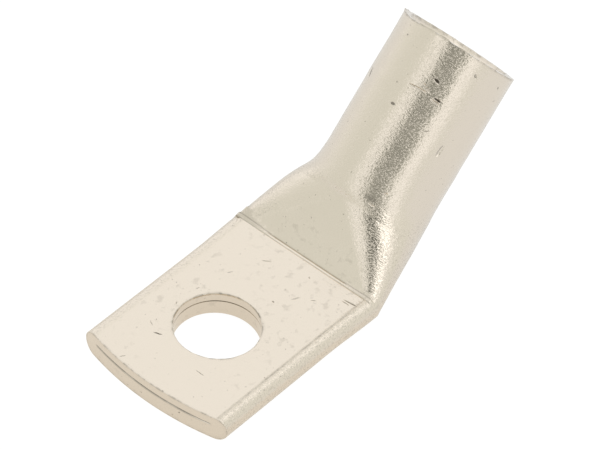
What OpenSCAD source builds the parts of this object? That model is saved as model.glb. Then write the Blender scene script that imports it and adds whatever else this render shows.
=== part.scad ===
// Tubular cable lug, angled pattern: one length of tin-plated copper tube. One end is pressed flat
// and pierced for a stud, the other stays round for the conductor, and the neck between them is bent.
// Millimetres. The origin is the centre of the stud hole on the palm's underside. +X runs from the
// palm towards the barrel, +Y across the palm, and +Z is square to the palm.

/* [Tube] */
// Outside diameter of the tube, which the barrel keeps
barrel_od = 19.2; // [17:0.1:22]
// Wall thickness of the tube; the palm is two walls thick
wall = 2.05; // [1.6:0.05:2.4]
// Length of the fully round barrel, from its mouth to the neck
barrel_len = 21.6; // [15:0.1:45]

/* [Palm] */
// Diameter of the stud hole
hole_d = 13; // [8.4:0.1:16]
// From the stud hole's centre to the tip of the nose
nose_len = 15.2; // [12:0.1:24]
// Radius of the shallow arc that the nose is sheared to
nose_r = 48; // [25:1:120]
// From the stud hole's centre to the crease
heel_len = 18.9; // [15:0.1:28]
// How far each side of the palm is pressed in from the freely flattened tube
side_trim = 0.3; // [0:0.05:0.8]

/* [Seam] */
// Thickness of the upper layer, down to the seam where the tube's two walls meet
seam_depth = 1.5; // [1:0.05:1.9]
// Height of the closed seam
seam_gap = 0.12; // [0.08:0.02:0.3]
// Width of the solid fold between each end of the seam and the palm's side
seam_fold = 2.8; // [2.2:0.1:4]

/* [Crease] */
// Depth of the groove that the die leaves between palm and neck
crease_depth = 0.25; // [0.1:0.05:0.5]
// Width of that groove
crease_w = 0.8; // [0.4:0.1:1.5]

/* [Neck and bend] */
// Angle between the palm and the barrel's axis
bend_deg = 45; // [30:1:60]
// How far short of the crease the barrel's upper line would run into the palm's top face
crease_set = 1.05; // [0:0.05:2]
// From the outer corner of the bend to where the tube is round again, along the barrel
neck_run = 4.4; // [1.5:0.1:12]
// From the crease to where the underside starts to leave the palm's plane
heel_lag = 1.3; // [0:0.1:4]
// How long the neck's upper face keeps its first direction, as a share of its length
top_pull = 1; // [0.3:0.05:1.1]
// How early the neck's upper face lies along the barrel, as a share of its length
top_ease = 0.6; // [0.1:0.05:0.7]
// Roundness of the outer bend: 0 is a sharp corner, and a higher value a wider curve
heel_round = 0.25; // [0.2:0.05:0.6]
// How far the die rounds the neck's two upper edges in from its flat
edge_round = 0.9; // [0:0.1:1.5]
// How far above its middle the neck is widest, as a share of its half-height
neck_rise = 0.17; // [0:0.01:0.25]
// How far the neck's sides swell where it meets the barrel
neck_swell = 0.2; // [0:0.05:0.4]

/* [Hidden] */
$fn = 96;
tin = "#D9D3C4";
eps = 0.02;                  // one surface is kept this far inside another that it would share
reach = 1;                   // overlap between sub-parts that are joined, and past a cut's ends
neck_stations = 18;          // sections along the neck
ring_points = 48;            // points round each of them

barrel_r = barrel_od / 2;
bore_r = barrel_r - wall;
palm_t = 2 * wall;
// A flattened tube keeps its girth, so this is the flat half-width that a half-height h leaves
function flat_half(h) = PI / 2 * (barrel_r - h);
palm_half = flat_half(wall) + wall - side_trim;
seam_z = palm_t - seam_depth;

// Points of the side view are [x, z]
along = [cos(bend_deg), sin(bend_deg)];    // up the barrel
square_up = [-along[1], along[0]];         // across it, towards the upper side
crease = [heel_len, palm_t];
// Where the barrel's axis meets the palm's middle plane, so that its upper line meets the crease
bend = [heel_len + (barrel_r - wall * along[0]) / along[1] - crease_set, wall];
corner_s = (barrel_r * along[0] - wall) / along[1];    // the outer corner, measured from bend
round_s = corner_s + neck_run;
mouth_s = round_s + barrel_len;
function beside_axis(s, off) = bend + along * s + square_up * off;
round_top = beside_axis(round_s, barrel_r);
round_low = beside_axis(round_s, -barrel_r);
outer_corner = beside_axis(corner_s, -barrel_r);
low_start = [heel_len + heel_lag, 0];
top_len = norm(round_top - crease);

function mix(a, b, t) = a * (1 - t) + b * t;
function bezier(p, t) = mix(mix(mix(p[0], p[1], t), mix(p[1], p[2], t), t),
                            mix(mix(p[1], p[2], t), mix(p[2], p[3], t), t), t);
top_curve = [crease, crease + along * top_len * top_pull, round_top - along * top_len * top_ease,
             round_top];
low_curve = [low_start, mix(outer_corner, low_start, heel_round),
             mix(outer_corner, round_low, heel_round), round_low];

// One section: two flats joined by half circles of half-height h. It lies square to the side view,
// on the line from low to top, and lift moves it along that line. The upper edges can be rounder by
// edge, the widest line stand higher by rise, and both sides swell, which turns circles to ellipses.
function section(top, low, h, flat, lift = 0, edge = 0, rise = 0, swell = 0) =
    let (mid = (top + low) / 2, up = (top - low) / norm(top - low), half = flat + h + swell)
    [for (i = [0 : ring_points - 1])
        let (a = 360 * (i + 0.5) / ring_points, upper = sin(a) > 0,
             level = upper ? max(flat - edge, 0) : flat,
             p = mid + up * (lift + rise + (upper ? h - rise : h + rise) * sin(a)))
        [p[0], sign(cos(a)) * level + (half - level) * cos(a), p[1]]];

// A closed solid through a list of sections
module loft(rings) {
    n = ring_points;
    last = len(rings) - 1;
    polyhedron(
        points = [for (r = rings) each r],
        faces = concat(
            [[for (i = [0 : n - 1]) i]],
            [[for (i = [n - 1 : -1 : 0]) last * n + i]],
            [for (k = [0 : last - 1], i = [0 : n - 1])
                let (a = k * n + i, b = k * n + (i + 1) % n) each [[a, a + n, b + n], [a, b + n, b]]]));
}

// Sections of the neck with inset 0, or of the cavity in it with inset equal to the wall
function neck_rings(inset) =
    [for (k = [0 : neck_stations])
        let (t = k / neck_stations, top = bezier(top_curve, t), low = bezier(low_curve, t),
             h = norm(top - low) / 2, closed = (barrel_r - h) / (barrel_r - wall),
             lift = inset > 0 ? (seam_z - wall) * closed : 0, within = 4 * t * (1 - t),
             half = max(h - inset, seam_gap / 2) - eps)
        section(top, low, half, max(flat_half(h), 0), lift, edge_round * within * (1 - t),
                neck_rise * within * (1 - t) * half, neck_swell * within * t)];

// What joins the neck, or its cavity, to the palm: one section within the palm
function palm_ring(half, flat, z) =
    section([heel_len - reach, palm_t], [heel_len - reach, 0], half - eps, flat, z - wall);
function barrel_ring(r) =
    section(beside_axis(round_s + reach, r), beside_axis(round_s + reach, -r), r - eps, 0);

// A straight length of the barrel's circle, from one distance past the bend to another
module on_axis(r, from, to)
    translate([bend[0], 0, bend[1]]) rotate([0, 90 - bend_deg, 0])
        translate([0, 0, from]) cylinder(r = r, h = to - from);

// The flattened end: two walls pressed together, with the folds as half-round sides
module palm_blank()
    intersection() {
        translate([-nose_len, 0, 0]) rotate([90, 0, 90])
            linear_extrude(height = nose_len + heel_len) union() {
                translate([wall - palm_half, 0]) square([2 * (palm_half - wall), palm_t]);
                for (side = [-1, 1])
                    translate([side * (palm_half - wall), wall]) circle(r = wall);
            }
        union() {
            translate([nose_r - nose_len, 0, -reach]) cylinder(r = nose_r, h = palm_t + 2 * reach);
            translate([0, -palm_half - reach, -reach])
                cube([heel_len + reach, 2 * (palm_half + reach), palm_t + 2 * reach]);
        }
    }

module neck()
    loft(concat([palm_ring(wall, palm_half - wall, wall)], neck_rings(0), [barrel_ring(barrel_r)]));

module neck_cavity()
    loft(concat([palm_ring(seam_gap / 2, palm_half - seam_fold, seam_z)], neck_rings(wall),
                [barrel_ring(bore_r)]));

// The tube's two walls touch here, from the nose to the neck
module seam()
    translate([-nose_len - reach, seam_fold - palm_half, seam_z - seam_gap / 2])
        cube([nose_len + heel_len + reach, 2 * (palm_half - seam_fold), seam_gap]);

module crease_groove()
    translate([heel_len, 0, palm_t]) rotate([90, 0, 0])
        linear_extrude(height = barrel_od * 2, center = true)
            polygon([[-crease_w / 2, 0], [0, -crease_depth], [crease_w / 2, 0],
                     [crease_w / 2, crease_depth], [-crease_w / 2, crease_depth]]);

module lug()
    color(tin) difference() {
        union() {
            palm_blank();
            neck();
            on_axis(barrel_r, round_s, mouth_s);
        }
        translate([0, 0, -reach]) cylinder(d = hole_d, h = palm_t + 2 * reach);
        on_axis(bore_r, round_s, mouth_s + reach);
        neck_cavity();
        seam();
        crease_groove();
    }

lug();
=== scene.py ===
"""Tubular cable lug of tin-plated copper, on a pale floor in a light tent.
Sizes are in millimetres and turn to metres as each mesh is made. The origin is the centre of the
stud hole on the palm's underside, +X runs towards the barrel and +Z is square to the palm."""
import bpy
import numpy as np
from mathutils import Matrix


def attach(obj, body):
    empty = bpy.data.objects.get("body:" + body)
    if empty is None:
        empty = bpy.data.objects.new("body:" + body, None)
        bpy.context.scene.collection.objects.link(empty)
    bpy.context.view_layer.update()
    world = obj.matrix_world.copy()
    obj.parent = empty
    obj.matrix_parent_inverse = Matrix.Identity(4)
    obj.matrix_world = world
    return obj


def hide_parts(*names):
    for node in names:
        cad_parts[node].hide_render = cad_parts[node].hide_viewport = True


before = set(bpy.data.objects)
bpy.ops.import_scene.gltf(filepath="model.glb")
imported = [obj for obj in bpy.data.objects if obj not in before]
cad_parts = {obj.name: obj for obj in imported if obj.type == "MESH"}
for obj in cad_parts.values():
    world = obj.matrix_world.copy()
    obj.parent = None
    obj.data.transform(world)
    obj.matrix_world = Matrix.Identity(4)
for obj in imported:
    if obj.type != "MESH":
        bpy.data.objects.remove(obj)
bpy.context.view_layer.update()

# ---------------------------------------------------------------- the lug
# One length of copper tube. A press flattened one end into a palm of two walls, with the folds as
# its half-round sides, and sheared its nose; the neck swells back to the round barrel and is bent
# by 45 degrees. The stud hole was punched from above, and then the whole was tin-plated.
MM = 0.001
BARREL_R, WALL, BARREL_LEN = 9.6, 2.05, 21.6
HOLE_R, NOSE_LEN, NOSE_R, HEEL_LEN, SIDE_TRIM = 6.5, 15.2, 48.0, 19.55, 0.3
SEAM_DEPTH, SEAM_GAP, SEAM_FOLD = 1.5, 0.12, 2.8
BEND, CREASE_SET, NECK_RUN, HEEL_LAG = np.radians(45), 1.7, 4.4, 0.65
TOP_EASE, HEEL_ROUND = 0.6, 0.25
EDGE_ROUND, EDGE_STEP, NECK_RISE, NECK_SWELL = 6.6, 0.6, 0.17, 0.2

palm_t, bore_r = 2 * WALL, BARREL_R - WALL
seam_z = palm_t - SEAM_DEPTH
along = np.array([np.cos(BEND), np.sin(BEND)])       # up the barrel, as [x, z]
square_up = np.array([-along[1], along[0]])          # across it, towards the upper side
crease = np.array([HEEL_LEN, palm_t])
bend = np.array([HEEL_LEN + (BARREL_R - WALL * along[0]) / along[1] - CREASE_SET, WALL])
corner_s = (BARREL_R * along[0] - WALL) / along[1]   # the outer corner, measured from the bend
round_s = corner_s + NECK_RUN
mouth_s = round_s + BARREL_LEN


def flat_half(h):
    """Half-width of the flats that half-height h leaves: the girth of the tube never changes."""
    return np.pi / 2 * (BARREL_R - h)


def beside_axis(s, off):
    """The point at s along the barrel's axis and off to its upper side, for arrays of both."""
    s, off = np.broadcast_arrays(s, off)
    return bend + s[..., None] * along + off[..., None] * square_up


def bezier(p, t):
    """Cubic curve through p: (1-t)^3 p0 + 3 (1-t)^2 t p1 + 3 (1-t) t^2 p2 + t^3 p3."""
    t = t[:, None]
    return (1 - t) ** 3 * p[0] + 3 * (1 - t) ** 2 * t * p[1] + 3 * (1 - t) * t ** 2 * p[2] + t ** 3 * p[3]


def ease(v):
    """0 below 0, 1 above 1, and 3v^2 - 2v^3 between."""
    v = np.clip(v, 0, 1)
    return v * v * (3 - 2 * v)


def sections(top, low, half, flat, turn, lift=0.0, edge=0.0, rise=0.0, swell=0.0):
    """Rings of points on a flattened tube, one row for each pair of top and low points [x, z].
    turn counts quarters of the girth from the top's middle, by way of +Y. A quarter runs first
    along its flat and then round a quarter ellipse: with q the length covered, y = min(q, flat) +
    wide sin(a) and w = tall cos(a), where a grows evenly once q is past the flat. The upper flat is
    narrower by edge, the widest line stands higher by rise and both sides swell."""
    columns = (np.broadcast_to(v, len(top))[:, None] for v in (half, flat, lift, edge, rise, swell))
    half, flat, lift, edge, rise, swell = columns
    folded = np.abs((turn + 2) % 4 - 2)[None]                # 0 at the top's middle, 2 underneath
    upper = folded <= 1
    level = np.where(upper, np.clip(flat - edge, 0, None), flat)
    wide, tall = flat + half + swell - level, half + np.where(upper, -rise, rise)
    arc = np.pi / 2 * np.sqrt((wide ** 2 + tall ** 2) / 2)
    covered = np.where(upper, folded, 2 - folded) * (level + arc)
    angle = np.clip((covered - level) / arc, 0, 1) * np.pi / 2
    y = (np.minimum(covered, level) + wide * np.sin(angle)) * np.where(turn % 4 > 2, -1, 1)
    w = tall * np.cos(angle) * np.where(upper, 1, -1) + lift + rise
    up = (top - low) / np.linalg.norm(top - low, axis=1, keepdims=True)
    mid = (top + low) / 2
    return np.stack([mid[:, :1] + up[:, :1] * w, y, mid[:, 1:] + up[:, 1:] * w], axis=2)


def ripples(p, size, seed):
    """Smooth unevenness of about -1 to 1 at the points p: the sum of 24 sine waves whose
    directions, phases and lengths (0.6 to 1.8 times size) are drawn from the seed."""
    draw = np.random.default_rng(seed)
    wave = draw.normal(size=(3, 24))
    wave *= 2 * np.pi / np.linalg.norm(wave, axis=0) / (size * draw.uniform(0.6, 1.8, 24))
    return np.sin(p @ wave + draw.uniform(0, 2 * np.pi, 24)).sum(axis=-1) / 6


RING = 256
turn = np.arange(RING) * 4 / RING

# Stations down the palm, closer at the nose and at the crease; the underside leans past the top
# towards the heel, and the lines across straighten from the nose's arc to the crease.
palm_x = np.concatenate([[-NOSE_LEN, -15.12, -15.0], np.linspace(-14.8, 18.4, 112),
                         np.linspace(18.6, HEEL_LEN, 13)])
lean = HEEL_LAG * ease((palm_x - 9) / (HEEL_LEN - 9))
palm_top = np.column_stack([palm_x, np.full(len(palm_x), palm_t)])
palm_low = np.column_stack([palm_x + lean, np.zeros(len(palm_x))])
palm_h = np.linalg.norm(palm_top - palm_low, axis=1) / 2
palm_flat = flat_half(palm_h) - SIDE_TRIM * (1 - lean / HEEL_LAG)
palm = sections(palm_top, palm_low, palm_h, palm_flat, turn)
nose_share = (HEEL_LEN - palm_x) / (HEEL_LEN + NOSE_LEN)
palm[..., 0] += (NOSE_R - np.sqrt(NOSE_R ** 2 - palm[..., 1] ** 2)) * nose_share[:, None]

# The neck: its upper line leaves the crease up the bend, its lower line rounds the outer corner.
round_top, round_low = beside_axis(round_s, BARREL_R), beside_axis(round_s, -BARREL_R)
outer_corner, low_start = beside_axis(corner_s, -BARREL_R), np.array([HEEL_LEN + HEEL_LAG, 0])
top_len = np.linalg.norm(round_top - crease)
neck_t = np.concatenate([[0.004, 0.009, 0.015, 0.023], np.linspace(0, 1, 66)[2:]])
top_curve = [crease, crease + along * top_len, round_top - along * top_len * TOP_EASE, round_top]
low_curve = [low_start, outer_corner + (low_start - outer_corner) * HEEL_ROUND,
             outer_corner + (round_low - outer_corner) * HEEL_ROUND, round_low]
neck_top, neck_low = bezier(top_curve, neck_t), bezier(low_curve, neck_t)
neck_h = np.linalg.norm(neck_top - neck_low, axis=1) / 2
pressed = 4 * neck_t * (1 - neck_t)
neck = sections(neck_top, neck_low, neck_h, np.clip(flat_half(neck_h), 0, None), turn, 0,
                EDGE_ROUND * pressed * (1 - neck_t) + EDGE_STEP * (1 - neck_t) ** 2,
                NECK_RISE * pressed * (1 - neck_t) * neck_h, NECK_SWELL * pressed * neck_t)

# The barrel, a plain tube with a saw-cut mouth
barrel_s = np.concatenate([np.linspace(round_s, mouth_s - 0.6, 54)[1:],
                           mouth_s - np.array([0.45, 0.3, 0.18, 0.08, 0])])
barrel = sections(beside_axis(barrel_s, BARREL_R), beside_axis(barrel_s, -BARREL_R), BARREL_R, 0, turn)
skin = np.concatenate([palm, neck, barrel])
ring_s = np.concatenate([np.full(len(palm) + len(neck), -1.0), barrel_s])


# The saw ran out of square: by so much for each millimetre across and up, and less further in
SAW_TILT, SAW_LEAN, SAW_SET, SAW_FADE = 0.039, 0.015, -0.08, 8.0
DIP_DEPTH, DIP_Y, DIP_WIDTH, DIP_RISE = 0.4, 5.2, 3.2, 4.0


def sawn(rings, s):
    """Rings s along the barrel, slid along it as they near the mouth, by SAW_TILT y + SAW_LEAN w +
    SAW_SET, where w is the height above the barrel's axis. Right at the mouth's upper side the cut
    dips as well, by DIP_DEPTH times a bell curve round DIP_Y."""
    share = ease(1 - (mouth_s - s) / SAW_FADE)[:, None]
    above = (rings[..., [0, 2]] - bend) @ square_up
    bell = np.exp(-((rings[..., 1] - DIP_Y) / DIP_WIDTH) ** 2)
    dip = DIP_DEPTH * bell * ease(above / DIP_RISE) * share ** 6
    slide = share * (SAW_TILT * rings[..., 1] + SAW_LEAN * above + SAW_SET) - dip
    return rings + slide[..., None] * np.array([along[0], 0, along[1]])


skin[-len(barrel):] = sawn(skin[-len(barrel):], barrel_s)

# The die marks a line DIE_SET short of the corner and a groove along the corner, and stands up a
# facet at both ends of them, a smaller one at the -Y end, where the marks also stop sooner
DIE_SET, LINE_DEPTH, LINE_WIDTH, CORNER_DEPTH, CORNER_WIDTH = 0.55, 0.05, 0.09, 0.11, 0.10
over = skin[..., 2] - 0.5 * skin[..., 0].clip(HEEL_LEN) + 0.5 * HEEL_LEN
side, short, minus = np.abs(skin[..., 1]), HEEL_LEN - skin[..., 0], skin[..., 1] < 0
reach_down, fade, slope, reach_on = (np.where(minus, *pair)
                                     for pair in ((0.35, 0.9), (0.3, 0.6), (0.3, 0.55), (0.5, 1.6)))
on_top = ease((over - palm_t + reach_down) / fade)
line = (LINE_DEPTH * np.exp(-((short - DIE_SET) / LINE_WIDTH) ** 2)
        + CORNER_DEPTH * np.exp(-(short / CORNER_WIDTH) ** 2))
fill = palm_t + (DIE_SET - short) * slope * ease((side - 5.5) / 6.5) - skin[..., 2]
facet = np.where((short < DIE_SET) & (short > -reach_on), np.clip(fill, 0, None), 0)
skin[..., 2] += on_top * (facet - np.where(facet > 0.04, 0.3, 1) * line)

# Nothing is quite even: shallow waves run over the whole skin, and deeper ones past the crease
WAVE_PALM, WAVE_NECK = 0.004, 0.020
across_ring = np.roll(skin, -1, axis=1) - np.roll(skin, 1, axis=1)
along_ring = np.gradient(skin, axis=0)
outward = np.cross(along_ring, across_ring)
outward /= np.linalg.norm(outward, axis=2, keepdims=True)
outward *= np.sign(outward[5, 0, 2])
wavy = WAVE_PALM + (WAVE_NECK - WAVE_PALM) * ease((skin[..., 0] - HEEL_LEN - 0.5) / 4)
swing = np.roll(outward, -1, axis=1) - np.roll(outward, 1, axis=1)
bent = np.linalg.norm(swing, axis=2) / np.linalg.norm(across_ring, axis=2)   # turn in each mm
skin += (wavy * ripples(skin, 5.0, 3) + 0.3 * wavy * ripples(skin, 1.7, 4))[..., None] * outward

# The sheared nose: rings that shrink to the closed seam between the two pressed walls
slit_half = palm_flat[0] + WALL - SEAM_FOLD
shrink = np.array([0.04, 0.12, 0.3, 0.5, 0.7, 0.86, 0.96, 1, 1, 1])
sink = np.array([0, 0, 0, 0, 0, 0, 0.02, 0.12, 0.5, 1.5])
nose_h = WALL + (SEAM_GAP / 2 - WALL) * shrink
nose = sections(np.tile(palm_top[0], (10, 1)), np.tile(palm_low[0], (10, 1)), nose_h,
                palm_flat[0] + (slit_half - palm_flat[0]) * shrink, turn, (seam_z - WALL) * shrink)
nose[..., 0] += NOSE_R - np.sqrt(NOSE_R ** 2 - nose[..., 1] ** 2) + sink[:, None]

# The mouth's cut face with the saw's burr, the bore, whose edge a reamer has broken, and the
# cavity that closes to the seam inside the neck
rim_r = np.array([9.5, 9.2, 8.9, 8.6, 8.4])
rim = sections(beside_axis(mouth_s, rim_r), beside_axis(mouth_s, -rim_r), rim_r, 0, turn)
rim = sawn(rim, np.full(len(rim_r), mouth_s))
# The burr is larger on the upper half, and the rings next to the cut follow it by their share
BURR_LONG, BURR_SHORT, BURR_LOW = 0.09, 0.07, 0.3
burr = BURR_LONG * ripples(rim[0], 2.2, 8) + BURR_SHORT * ripples(rim[0], 0.9, 9)
burr *= np.where(np.cos(turn * np.pi / 2) > 0, 1.0, BURR_LOW)
axis3, around = np.array([along[0], 0, along[1]]), rim[0] - rim[0].mean(axis=0)
around /= np.linalg.norm(around, axis=1, keepdims=True)
for ring, share in ((skin[-1], 1.0), (skin[-2], 0.7), (skin[-3], 0.3), (rim[0], 0.8), (rim[1], 0.3)):
    ring += share * (burr[:, None] * axis3 + np.clip(burr, 0, None)[:, None] * 0.8 * around)
bore_s = np.concatenate([mouth_s - np.array([0.25, 0.55, 0.85, 1.05]),
                         np.linspace(mouth_s - 1.5, round_s, 14)])
reamed = bore_r + np.append([0.62, 0.38, 0.14, 0.02], np.zeros(14))
bore = sawn(sections(beside_axis(bore_s, reamed), beside_axis(bore_s, -reamed), reamed, 0, turn), bore_s)
cave_t = np.linspace(1, 0.03, 26)[1:]
cave_top, cave_low = bezier(top_curve, cave_t), bezier(low_curve, cave_t)
cave_h = np.linalg.norm(cave_top - cave_low, axis=1) / 2
cave_half, pressed = np.clip(cave_h - WALL, SEAM_GAP / 2, None), 4 * cave_t * (1 - cave_t)
cave = sections(cave_top, cave_low, cave_half, np.clip(flat_half(cave_h), 0, None), turn,
                (seam_z - WALL) * (BARREL_R - cave_h) / bore_r,
                EDGE_ROUND * pressed * (1 - cave_t) + EDGE_STEP * (1 - cave_t) ** 2,
                NECK_RISE * pressed * (1 - cave_t) * cave_half, NECK_SWELL * pressed * cave_t)

# The stud hole: a sleeve from a window in the palm's top, through the hole, to one underneath. The
# seam's line runs round its wall, and the punch left a burr on the rim's -Y side, which narrows it.
WINDOW, WINDOW_X = 38, 8.9
row_a, row_b = (int(np.argmin(np.abs(palm_x - x))) for x in (-WINDOW_X, WINDOW_X))
across = np.arange(-WINDOW, WINDOW + 1)
rows = np.arange(row_a, row_b + 1)
loop_row = np.concatenate([np.full(len(across) - 1, row_a), rows[:-1],
                           np.full(len(across) - 1, row_b), rows[:0:-1]])
loop_col = np.concatenate([across[:-1], np.full(len(rows) - 1, WINDOW),
                           across[:0:-1], np.full(len(rows) - 1, -WINDOW)])
border = skin[loop_row, loop_col % RING][:, :2]
hole_angle = np.arctan2(border[:, 1], border[:, 0])
circle = np.column_stack([np.cos(hole_angle), np.sin(hole_angle)])
spread = np.array([0.12, 0.25, 0.38, 0.5, 0.61, 0.71, 0.8, 0.875, 0.93, 0.965, 0.985])
wall_z = np.array([4.0, 3.85, 3.5, 3.1, 2.8, 2.68, 2.6, 2.52, 2.4, 1.9, 1.3, 0.7, 0.25, 0.06])
wall_r = HOLE_R + np.array([0.06, 0, 0, 0, 0, 0.02, 0.3, 0.02, 0, 0, 0, 0, 0, 0.02])
hang = np.clip((wall_z - 3.4) / 0.6, 0, 1)               # how much of the burr each of them has
lip = 0.2 * ease((0.4 - circle[:, 1]) / 1.2)
lip += 0.03 * ripples(np.column_stack([circle * HOLE_R, hole_angle]), 1.2, 12)
rim_top, rim_low = HOLE_R + 0.06 - lip, HOLE_R + 0.1


def hole_ring(share, z, r):
    """A ring round the hole at height z: the window's border, drawn in by share towards the circle
    of radius r, which may differ from point to point."""
    ring = border * (1 - share) + circle * share * np.reshape(r, (-1, 1))
    return np.column_stack([ring, np.full(len(ring), z)])


sleeve = np.stack([hole_ring(s, palm_t, rim_top) for s in spread]
                  + [hole_ring(1, palm_t - 0.03, rim_top)]
                  + [hole_ring(1, z, r - h * lip) for r, z, h in zip(wall_r, wall_z, hang)]
                  + [hole_ring(1, 0, rim_low)] + [hole_ring(s, 0, rim_low) for s in spread[::-1]])

# The four grids, and what each of their points tells the tin: how dark a broken line along an edge is, in
# part dirt and in part painted shade at the burrs, and how dark the painted shade of an even line along a
# seam or groove is; strain, how much the metal was stretched and so how coarse its grain is, and dull, how
# matt the tin stays, as it does inside the bore
grids = [skin, nose, np.concatenate([rim, bore, cave]), sleeve]
counts = [grid.shape[:2] for grid in grids]
torn_dirt_and_shade, groove_shade, dull = ([np.zeros(count) for count in counts] for _ in range(3))
strain = [np.clip(0.2 + 7 * bent, 0.2, 1.2) + 0.5 * np.clip(bent - 0.35, 0, 0.5),
          np.full(counts[1], 0.5), np.full(counts[2], 0.6), np.full(counts[3], 0.3)]
EDGE_Y = flat_half(WALL) - SIDE_TRIM + 0.25              # where the palm's flat meets its folds
# Dark broken lines along the palm's folds, the sheared nose, the mouth and the hole's rim: in part dirt
# and in part painted shade at the burrs
torn_dirt_and_shade[0] = np.exp(-((side - EDGE_Y) / 0.13) ** 2) * (over > palm_t - 0.3) * (short > 0)
torn_dirt_and_shade[0] *= np.where(minus, 0.6, 0.08)
sheared = np.array([[0.6], [0.45], [0.15], [0.0]]) * (skin[0, :, 2] > palm_t - 0.3)
torn_dirt_and_shade[0][:4] = np.maximum(torn_dirt_and_shade[0][:4], sheared)
torn_dirt_and_shade[0] = np.maximum(torn_dirt_and_shade[0], 0.5 * ease(1 - (mouth_s - ring_s) / 0.4)[:, None])
torn_dirt_and_shade[1][:2] = [[0.4], [0.1]]
torn_dirt_and_shade[2][0], torn_dirt_and_shade[2][4:6] = 0.6, 0.5
rim_ring = len(spread)
rim_weight = 0.7 + 0.3 * ease(0.3 + 0.7 * circle[:, 0] + 0.5 * circle[:, 1])
torn_dirt_and_shade[3][rim_ring - 3:rim_ring + 2] = [[0.1], [0.45], [0.8], [0.9], [0.4]] * rim_weight
# Painted shade along the die line and the corner groove, and over the facets at the crease's ends
groove_shade[0] = on_top * (0.5 * np.exp(-((short - DIE_SET) / 0.07) ** 2) + 0.4 * np.exp(-(short / 0.07) ** 2)
                   + 0.16 * ease(facet / 0.1))
# Painted shade along the closed seam in the nose and along the seam's line round the hole wall
to_corner = 0.35 + 0.65 * ease((10.5 + nose[5:, :, 1]) / 4.0)
groove_shade[1][5:] = np.array([0.0, 0.35, 0.8, 1, 1])[:, None] * to_corner
groove_shade[3][rim_ring + 6:rim_ring + 9] = [[0.3], [1.0], [0.3]] * (0.35 + 0.65 * ease(0.6 + circle[:, 1]))
dull[2][len(rim_r) + 4:] = 1

starts = np.cumsum([0] + [grid[..., 0].size for grid in grids])
points = np.concatenate([grid.reshape(-1, 3) for grid in grids])
ids = [start + np.arange(grid[..., 0].size).reshape(grid.shape[:2]) for start, grid in zip(starts, grids)]


def patch(grid, keep=None):
    """Quads of a grid of vertex numbers whose columns close on themselves."""
    after = np.roll(grid, -1, axis=1)
    quads = np.stack([grid[:-1], after[:-1], after[1:], grid[1:]], axis=2)
    return quads[keep] if keep is not None else quads.reshape(-1, 4)


def closed_end(ring):
    """Quads that join the two halves of a flattened ring, each point to the one under it."""
    i = np.arange(-RING // 4, RING // 4)
    return ring[np.stack([i, i + 1, RING // 2 - i - 1, RING // 2 - i], axis=1) % RING]


cell_row = np.arange(len(skin) - 1)[:, None]
from_top = (np.arange(RING) + RING // 2) % RING - RING // 2          # columns past the top's middle
from_low = np.arange(RING) - RING // 2                               # and past the underside's
in_columns = ((from_top >= -WINDOW) & (from_top < WINDOW)) | ((from_low >= -WINDOW) & (from_low < WINDOW))
window = (cell_row >= row_a) & (cell_row < row_b) & in_columns
sleeve_ids = np.concatenate([ids[0][loop_row, loop_col % RING][None], ids[3],
                             ids[0][loop_row, (RING // 2 - loop_col) % RING][None]])
quads = np.concatenate([
    patch(ids[0], ~window),
    patch(np.concatenate([ids[1][::-1], ids[0][:1]])), closed_end(ids[1][-1])[:, ::-1],
    patch(np.concatenate([ids[0][-1:], ids[2]])), closed_end(ids[2][-1]),
    patch(sleeve_ids)])[:, ::-1]

SHARP = np.radians(38)                                   # cut edges stay sharp, bends stay smooth
mesh = bpy.data.meshes.new("lug_skin")
used = np.zeros(len(points), bool)
used[quads.ravel()] = True
renumber = np.cumsum(used) - 1
mesh.from_pydata(points[used] * MM, [], renumber[quads].tolist())
for name, told in (("torn_dirt_and_shade", torn_dirt_and_shade), ("groove_shade", groove_shade), ("strain", strain), ("dull", dull)):
    values = np.concatenate([grid.ravel() for grid in told])[used].astype(np.float32)
    mesh.attributes.new(name, "FLOAT", "POINT").data.foreach_set("value", values)
mesh.validate()
mesh.shade_smooth()
mesh.set_sharp_from_angle(angle=SHARP)
lug = bpy.data.objects.new("lug_body", mesh)
bpy.context.collection.objects.link(lug)


def add(tree, kind, settings=(), links=()):
    """Adds one node with settings, which are its properties or the values of its inputs, and with
    links to its inputs from an output, or from the first output of the node that is given."""
    made = tree.nodes.new(kind)
    for name, value in dict(settings).items():
        if isinstance(name, str) and hasattr(made, name):
            setattr(made, name, value)
        else:
            made.inputs[name].default_value = value
    for name, source in dict(links).items():
        tree.links.new(getattr(source, "outputs", [source])[0], made.inputs[name])
    return made


def linear(code):
    """An sRGB hex colour as linear red, green, blue and 1."""
    v = np.array([int(code[i:i + 2], 16) for i in (1, 3, 5)]) / 255
    return (*np.where(v <= 0.04045, v / 12.92, ((v + 0.055) / 1.055) ** 2.4), 1.0)


# Electroplated tin over pressed copper: a bright, slightly warm metal. Its grain follows the die and runs
# round the tube, the edges are torn and dark where the tools left them, in part dirt and in part painted
# shade at the burrs, and a few knocks have gone through the shine. Seams, grooves and the hollows between
# stretched grains are darkened with painted shade, and one patch at the knuckle with a painted dark
# reflection. The grain is drawn coarser than the real one, so that it shows.
tin = bpy.data.materials.new("electroplated_tin")
tin.use_nodes = True
tree = tin.node_tree
tree.nodes.clear()
place = add(tree, "ShaderNodeTexCoord").outputs["Object"]
torn_dirt_and_shade, groove_shade, strain, dull = (add(tree, "ShaderNodeAttribute", {"attribute_name": name}).outputs["Fac"]
                           for name in ("torn_dirt_and_shade", "groove_shade", "strain", "dull"))
times, greater = {"operation": "MULTIPLY"}, {"operation": "MAXIMUM"}
eased = {"interpolation_type": "SMOOTHSTEP"}

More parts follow.
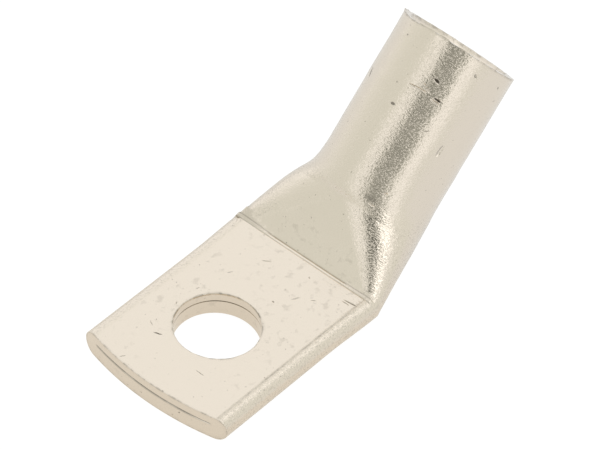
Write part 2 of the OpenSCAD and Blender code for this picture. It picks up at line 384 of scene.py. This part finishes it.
# Every outline of a mark wanders by up to half of WARP, over lumps of 0.35 mm
WARP = 0.16
lumps = add(tree, "ShaderNodeTexNoise", {"Scale": 1 / (0.35 * MM), "Detail": 1.0}, {"Vector": place})
ragged = add(tree, "ShaderNodeVectorMath", {"operation": "ADD", 1: (-WARP / 2 * MM,) * 3}, {0: place})
ragged = add(tree, "ShaderNodeVectorMath", {"operation": "MULTIPLY_ADD", 1: (WARP * MM,) * 3},
             {0: lumps.outputs["Color"], 2: ragged})
# The grain is drawn out along the barrel's girth
up_tube = add(tree, "ShaderNodeMapping", {"vector_type": "TEXTURE", "Rotation": (0, -BEND, 0),
                                          "Scale": (0.5, 1.0, 1.0)}, {"Vector": place})

# Knocks and scratches, and one painted dark patch at the knuckle: x, y and z of one end and of the other,
# half-width, darkness and depth
MARKS = [
    (-7.34, 5.76, 4.1, -6.93, 4.78, 4.1, 0.11, 0.9, 0.5),
    (-5.97, 7.77, 4.1, -6.51, 6.9, 4.1, 0.05, 0.5, 0.3),
    (-14.3, 6.2, 4.1, -13.6, 5.7, 4.1, 0.08, 0.45, 0.4),
    (-8.68, -3.5, 4.1, -8.7, -4.9, 4.1, 0.06, 0.5, 0.4),
    (9.3, -2.45, 4.1, 9.3, -2.6, 4.1, 0.13, 0.6, 0.5),
    (-15.05, -2.8, 4.1, -15.0, -2.6, 4.1, 0.12, 0.5, 0.5),
    (9.09, 6.16, 4.1, 9.76, 5.77, 4.1, 0.07, 0.5, 0.4),
    (14.55, 4.1, 4.1, 15.22, 3.12, 4.1, 0.07, 0.35, 0.4),
    (11.6, -4.2, 4.1, 12.6, -4.7, 4.1, 0.14, 0.3, 0.3),
    (16.76, -3.1, 4.1, 16.7, -3.2, 4.1, 0.12, 0.4, 0.3),
    (13.4, -6.3, 4.1, 13.8, -6.8, 4.1, 0.07, 0.45, 0.3),
    (16.9, -9.9, 4.1, 17.1, -11.8, 4.1, 0.12, 0.5, 1.0),
    (16.5, -9.8, 4.1, 16.5, -10.8, 4.1, 0.08, 0.4, 0.6),
    (-0.5, 7.55, 4.1, -0.9, 7.3, 4.1, 0.10, 0.4, 0.4), (3.9, 7.1, 4.1, 3.5, 7.3, 4.1, 0.08, 0.4, 0.4),
    (-14.84, -5.8, 1.8, -14.84, -5.9, 1.9, 0.12, 0.6, 0.4),
    (42.05, -3.58, 27.32, 42.11, -4.13, 27.04, 0.28, 0.95, 1.0),
    (40.71, -4.74, 25.18, 41.07, -5.63, 24.73, 0.19, 0.95, 1.0),
    (40.4, -4.6, 24.9, 40.75, -5.5, 24.4, 0.20, 0.0, 3.0),
    (39.87, -0.97, 26.04, 40.28, -3.12, 25.79, 0.17, 0.0, 3.0),
    (40.79, -2.62, 26.52, 40.62, -3.59, 25.88, 0.18, 0.0, 3.0),
    (37.15, 0.2, 23.4, 37.15, -0.2, 23.4, 0.22, 0.7, 0.8),
    (41.37, 7.36, 22.75, 40.32, 7.01, 22.26, 0.20, 0.6, 1.5),
    (46.51, -7.46, 27.72, 46.4, -7.6, 27.5, 0.2, 0.4, 1.2),
    (49.8, -9.5, 24.25, 49.8, -9.5, 24.4, 0.15, 0.5, 0.6),
    (44.6, 4.0, 29.6, 44.6, 4.1, 29.6, 0.14, 0.5, 0.6),
    (38.22, -8.23, 17.88, 39.18, -8.29, 18.69, 0.28, 0.0, 3.0),
    (29.78, -5.59, 13.54, 29.9, -5.7, 13.6, 0.3, 0.0, 2.0),
    (37.6, -5.66, 21.24, 38.15, -6.17, 21.21, 0.09, 0.5, 0.8),
    (24.2, -11.97, 6.3, 24.5, -12.0, 6.5, 0.2, 0.6, 0.5),
    (25.6, -11.0, 7.8, 25.8, -11.0, 8.0, 0.2, 0.6, 0.5),
    (27.52, -4.12, 12.67, 27.99, -5.49, 12.26, 0.20, 0.0, 2.5),
    # No knock here: a painted dark reflection that deepens the lower end of the dark band the barrel
    # mirrors
    (27.9, -3.5, 13.4, 28.4, -5.2, 13.0, 0.45, 0.35, 0.0)]
stains_and_shades, knocks = [], []
for x0, y0, z0, x1, y1, z1, half_width, dark, deep in MARKS:
    run = np.array([x1 - x0, y1 - y0, z1 - z0])
    half_run = np.linalg.norm(run) / 2
    turned = (0, -np.arcsin(run[2] / (2 * half_run)), np.arctan2(run[1], run[0]))
    middle = np.array([x0 + x1, y0 + y1, z0 + z1]) / 2 * MM
    local = add(tree, "ShaderNodeMapping", {
        "vector_type": "TEXTURE", "Location": middle, "Rotation": turned,
        "Scale": ((half_run + half_width) * MM, half_width * MM, half_width * MM)}, {"Vector": ragged})
    away = add(tree, "ShaderNodeVectorMath", {"operation": "LENGTH"}, {0: local}).outputs["Value"]
    shape = add(tree, "ShaderNodeMapRange", {**eased, "From Min": 0.5, "From Max": 1.3,
                                             "To Min": 1.0, "To Max": 0.0}, {"Value": away})
    knocks.append(add(tree, "ShaderNodeMath", {**times, 1: deep}, {0: shape}))
    if dark:
        stains_and_shades.append(add(tree, "ShaderNodeMath", {**times, 1: dark}, {0: shape}))

# Patterns: the size of their lumps in millimetres, their detail and where they are laid, and the
# part of their range that is eased to least..most
pattern = {}
for name, size, detail, at, low, high, least, most in (
        ("tear", 0.9, 5, ragged, 0.42, 0.66, 0.3, 1.0),      # breaks up the torn edges
        ("line", 2.0, 2, place, 0.30, 0.60, 0.55, 0.85),     # the painted shade at the seam and the crease comes and goes
        ("pore", 0.45, 1, ragged, 0.73, 0.80, 0.0, 0.45),    # pores in the plating
        ("grain_hollow_shade", 0.3, 2, place, 0.45, 0.70, 0.0, 0.15),      # painted shade in the hollows between stretched grains
        ("smudge", 1.3, 5, ragged, 0.55, 0.70, 0.0, 0.14),   # smudges on the flat palm ...
        ("patch", 9.0, 2, place, 0.42, 0.60, 0.0, 1.0),      # ... which keep to some patches of it
        ("spike", 0.26, 2, up_tube, 0.52, 0.70, 0.0, 0.21),  # single sharp grains
        ("cloud", 2.4, 4, place, 0.35, 0.65, 0.10, 0.16)):   # roughness of the tin
    lumps = add(tree, "ShaderNodeTexNoise", {"Scale": 1 / (size * MM), "Detail": detail}, {"Vector": at})
    pattern[name] = add(tree, "ShaderNodeMapRange", {**eased, "From Min": low, "From Max": high,
                                                     "To Min": least, "To Max": most}, {"Value": lumps})
stretched = add(tree, "ShaderNodeMapRange", {**eased, "From Min": 0.9, "From Max": 1.3},
                {"Value": strain})
even = add(tree, "ShaderNodeMapRange", {**eased, "From Min": 0.25, "From Max": 0.7,
                                        "To Min": 1.0, "To Max": 0.0}, {"Value": strain})
# The torn lines, in part dirt and in part painted shade at the burrs, broken up by the tear pattern
edge = add(tree, "ShaderNodeMath", times, {0: torn_dirt_and_shade, 1: pattern["tear"]})
smudge = add(tree, "ShaderNodeMath", times, {0: pattern["smudge"], 1: pattern["patch"]})
# Besides the marks, the darkening takes in the torn edges, the painted shade along seams and grooves, the
# pores, the painted shade in the hollows between stretched grains, and the smudges
stains_and_shades += [add(tree, "ShaderNodeMath", {**times, 1: 0.85}, {0: edge}),
           add(tree, "ShaderNodeMath", times, {0: groove_shade, 1: pattern["line"]}),
           pattern["pore"],
           add(tree, "ShaderNodeMath", times, {0: pattern["grain_hollow_shade"], 1: stretched}),
           add(tree, "ShaderNodeMath", times, {0: smudge, 1: even})]

# Where marks meet, the darkest and the deepest of them shows
KNOCK_DEPTH, GRAIN_HEIGHT, GRAIN_SIZE = 0.09, 0.07, 0.45
stain_and_shade, relief = stains_and_shades[0], knocks[0]
for other in stains_and_shades[1:]:
    stain_and_shade = add(tree, "ShaderNodeMath", greater, {0: stain_and_shade, 1: other})
for other in knocks[1:] + [edge]:
    relief = add(tree, "ShaderNodeMath", greater, {0: relief, 1: other})
sunk = add(tree, "ShaderNodeBump", {"invert": True, "Strength": 1.0, "Distance": KNOCK_DEPTH * MM},
           {"Height": relief})
coarse = add(tree, "ShaderNodeTexNoise", {"Scale": 1 / (GRAIN_SIZE * MM), "Detail": 2.0},
             {"Vector": up_tube})
grain = add(tree, "ShaderNodeMath", {"operation": "MULTIPLY_ADD", 1: 0.85},
            {0: coarse, 2: pattern["spike"]})
grain = add(tree, "ShaderNodeMath", times, {0: grain, 1: strain})
grained = add(tree, "ShaderNodeBump", {"Strength": 1.0, "Distance": GRAIN_HEIGHT * MM},
              {"Height": grain, "Normal": sunk})
colour = add(tree, "ShaderNodeMix", {"data_type": "RGBA", 6: linear("#EDE3D4"), 7: linear("#453E34")},
             {"Factor": stain_and_shade}).outputs[2]
# Stains and painted shade are rougher than the tin, and inside the bore it is duller still and mirrors
# little
STAIN_ROUGH, DULL_ROUGH, DULL_LOSS = 0.35, 0.5, 0.85
rough = add(tree, "ShaderNodeMath", {"operation": "MULTIPLY_ADD", 1: STAIN_ROUGH},
            {0: stain_and_shade, 2: pattern["cloud"]})
rough = add(tree, "ShaderNodeMath", {"operation": "MULTIPLY_ADD", 1: DULL_ROUGH}, {0: dull, 2: rough})
shine = add(tree, "ShaderNodeMath", {"operation": "MULTIPLY_ADD", 1: -DULL_LOSS, 2: 1.0}, {0: dull})
shader = add(tree, "ShaderNodeBsdfPrincipled", (),
             {"Metallic": shine, "Base Color": colour, "Roughness": rough, "Normal": grained})
add(tree, "ShaderNodeOutputMaterial", (), {"Surface": shader})
mesh.materials.append(tin)
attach(lug, "root")
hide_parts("lug")

# ---------------------------------------------------------------- the floor
# A sheet of matt white board that the lug lies on, wide enough to fill every view. It lies a hair
# low, so that the waves of the lug's underside stay clear of it.
BOARD_HALF, BOARD_Z = 2500, -0.03
BOARD_GLOW, BOARD_TO_LENS, TINT_FROM, TINT_TO = 0.70, 0.32, 22, 38
corners = np.array([(-1, -1, 0), (1, -1, 0), (1, 1, 0), (-1, 1, 0)]) * BOARD_HALF + (0, 0, BOARD_Z)
floor_mesh = bpy.data.meshes.new("floor_sheet")
floor_mesh.from_pydata(corners * MM, [], [(0, 1, 2, 3)])
floor = bpy.data.objects.new("floor", floor_mesh)
bpy.context.collection.objects.link(floor)
board = bpy.data.materials.new("matt_white_board")
board.use_nodes = True
tree = board.node_tree
tree.nodes.clear()
# It glows evenly towards the lens and the metal, and takes the lug's shadow on its own grey
path = add(tree, "ShaderNodeLightPath").outputs
seen = add(tree, "ShaderNodeMath", greater, {0: path["Is Camera Ray"], 1: path["Is Glossy Ray"]})
seen = add(tree, "ShaderNodeMath", greater, {0: seen, 1: path["Is Transmission Ray"]})
seen = add(tree, "ShaderNodeMath", {"operation": "MULTIPLY_ADD", 1: BOARD_TO_LENS},
           {0: path["Is Camera Ray"], 2: seen})
glow = add(tree, "ShaderNodeMath", {**times, 1: BOARD_GLOW}, {0: seen})
grey = add(tree, "ShaderNodeBsdfDiffuse", {"Color": linear("#707070")})
# Close to the lug the board's glow towards the metal is tinted warm: a painted glow that stands in for the
# light the metal throws on it
spot = add(tree, "ShaderNodeNewGeometry").outputs["Position"]
spot = add(tree, "ShaderNodeVectorMath", {"operation": "LENGTH"}, {0: spot}).outputs["Value"]
spot = add(tree, "ShaderNodeMapRange", {"From Min": TINT_FROM * MM, "From Max": TINT_TO * MM},
           {"Value": spot})
spot = add(tree, "ShaderNodeMath", greater, {0: spot, 1: path["Is Camera Ray"]})
shown = add(tree, "ShaderNodeMix", {"data_type": "RGBA", 6: linear("#FFF9F0"), 7: linear("#FFFFFF")},
            {"Factor": spot}).outputs[2]
white = add(tree, "ShaderNodeEmission", (), {"Color": shown, "Strength": glow})
both = add(tree, "ShaderNodeAddShader", (), {0: grey, 1: white})
add(tree, "ShaderNodeOutputMaterial", (), {"Surface": both})
floor_mesh.materials.append(board)

# ---------------------------------------------------------------- the light tent
# White cloth all round. It is brighter where the lamps stand behind it and darker at its seams
# and at the opening for the lens.
TENT = 0.928
# azimuth from +X towards +Y, elevation, half-width and soft edge in degrees, and brightness
PANELS = [(172, 25, 66, 37, 0.78), (-52, 17.5, 23, 22, 0.82), (55, 20, 34, 6, 1.02), (56, 40, 27, 3, 0.99),
          (-142, 41, 38, 9, 1.03), (-97, 57, 15, 7, 1.7), (-118, 25, 26, 4, 1.06), (-96, -2, 11, 10, 0.77),
          (181, 28, 15, 3.6, 0.95), (161, 44, 6.5, 3.5, 1.08), (-140, 38, 19, 8, 0.30),
          (-151, 22, 17, 6, 0.37), (-158, 61, 12, 7, 0.12), (16, 54, 5, 5, 0.79), (-22, 51, 11, 5, 1.15)]
world = bpy.data.worlds.new("light_tent")
bpy.context.scene.world = world
world.use_nodes = True
tree = world.node_tree
tree.nodes.clear()
aim = add(tree, "ShaderNodeTexCoord").outputs["Generated"]
level = add(tree, "ShaderNodeValue").outputs[0]
level.default_value = TENT
for azimuth, elevation, half, soft, strength in PANELS:
    a, e = np.radians([azimuth, elevation])
    towards = (np.cos(a) * np.cos(e), np.sin(a) * np.cos(e), np.sin(e))
    facing = add(tree, "ShaderNodeVectorMath", {"operation": "DOT_PRODUCT", 1: towards}, {0: aim})
    lobe = add(tree, "ShaderNodeMapRange", {**eased, "From Min": np.cos(np.radians(half + soft)),
                                            "From Max": np.cos(np.radians(half - soft))},
               {"Value": facing.outputs["Value"]})
    level = add(tree, "ShaderNodeMix", {"data_type": "FLOAT", 3: strength}, {"Factor": lobe, 2: level})
# Straight to the lens the cloth is plain white, and its darker parts are a little green
path = add(tree, "ShaderNodeLightPath").outputs
level = add(tree, "ShaderNodeMix", {"data_type": "FLOAT", 3: 1.0},
            {"Factor": path["Is Camera Ray"], 2: level})
pure = add(tree, "ShaderNodeMapRange", {"From Min": 0.72, "From Max": 1.0}, {"Value": level})
tint = add(tree, "ShaderNodeMix", {"data_type": "RGBA", 6: linear("#FDFFF7"), 7: linear("#FFFFFF")},
           {"Factor": pure}).outputs[2]
sky = add(tree, "ShaderNodeBackground", (), {"Color": tint, "Strength": level})
add(tree, "ShaderNodeOutputWorld", (), {"Surface": sky})

# ---------------------------------------------------------------- the camera
# A long lens that looks over the nose from the -Y side, and down on the palm at about 45 degrees.
lens = bpy.data.cameras.new("lens")
lens.lens, lens.sensor_width = 240.58, 36.0
camera = bpy.data.objects.new("camera", lens)
camera.location = (-0.31427, -0.24468, 0.42481)
camera.rotation_euler = np.radians([44.835, -4.060, -49.506])
bpy.context.collection.objects.link(camera)
bpy.context.scene.camera = camera
bpy.context.scene.view_settings.view_transform = "Standard"
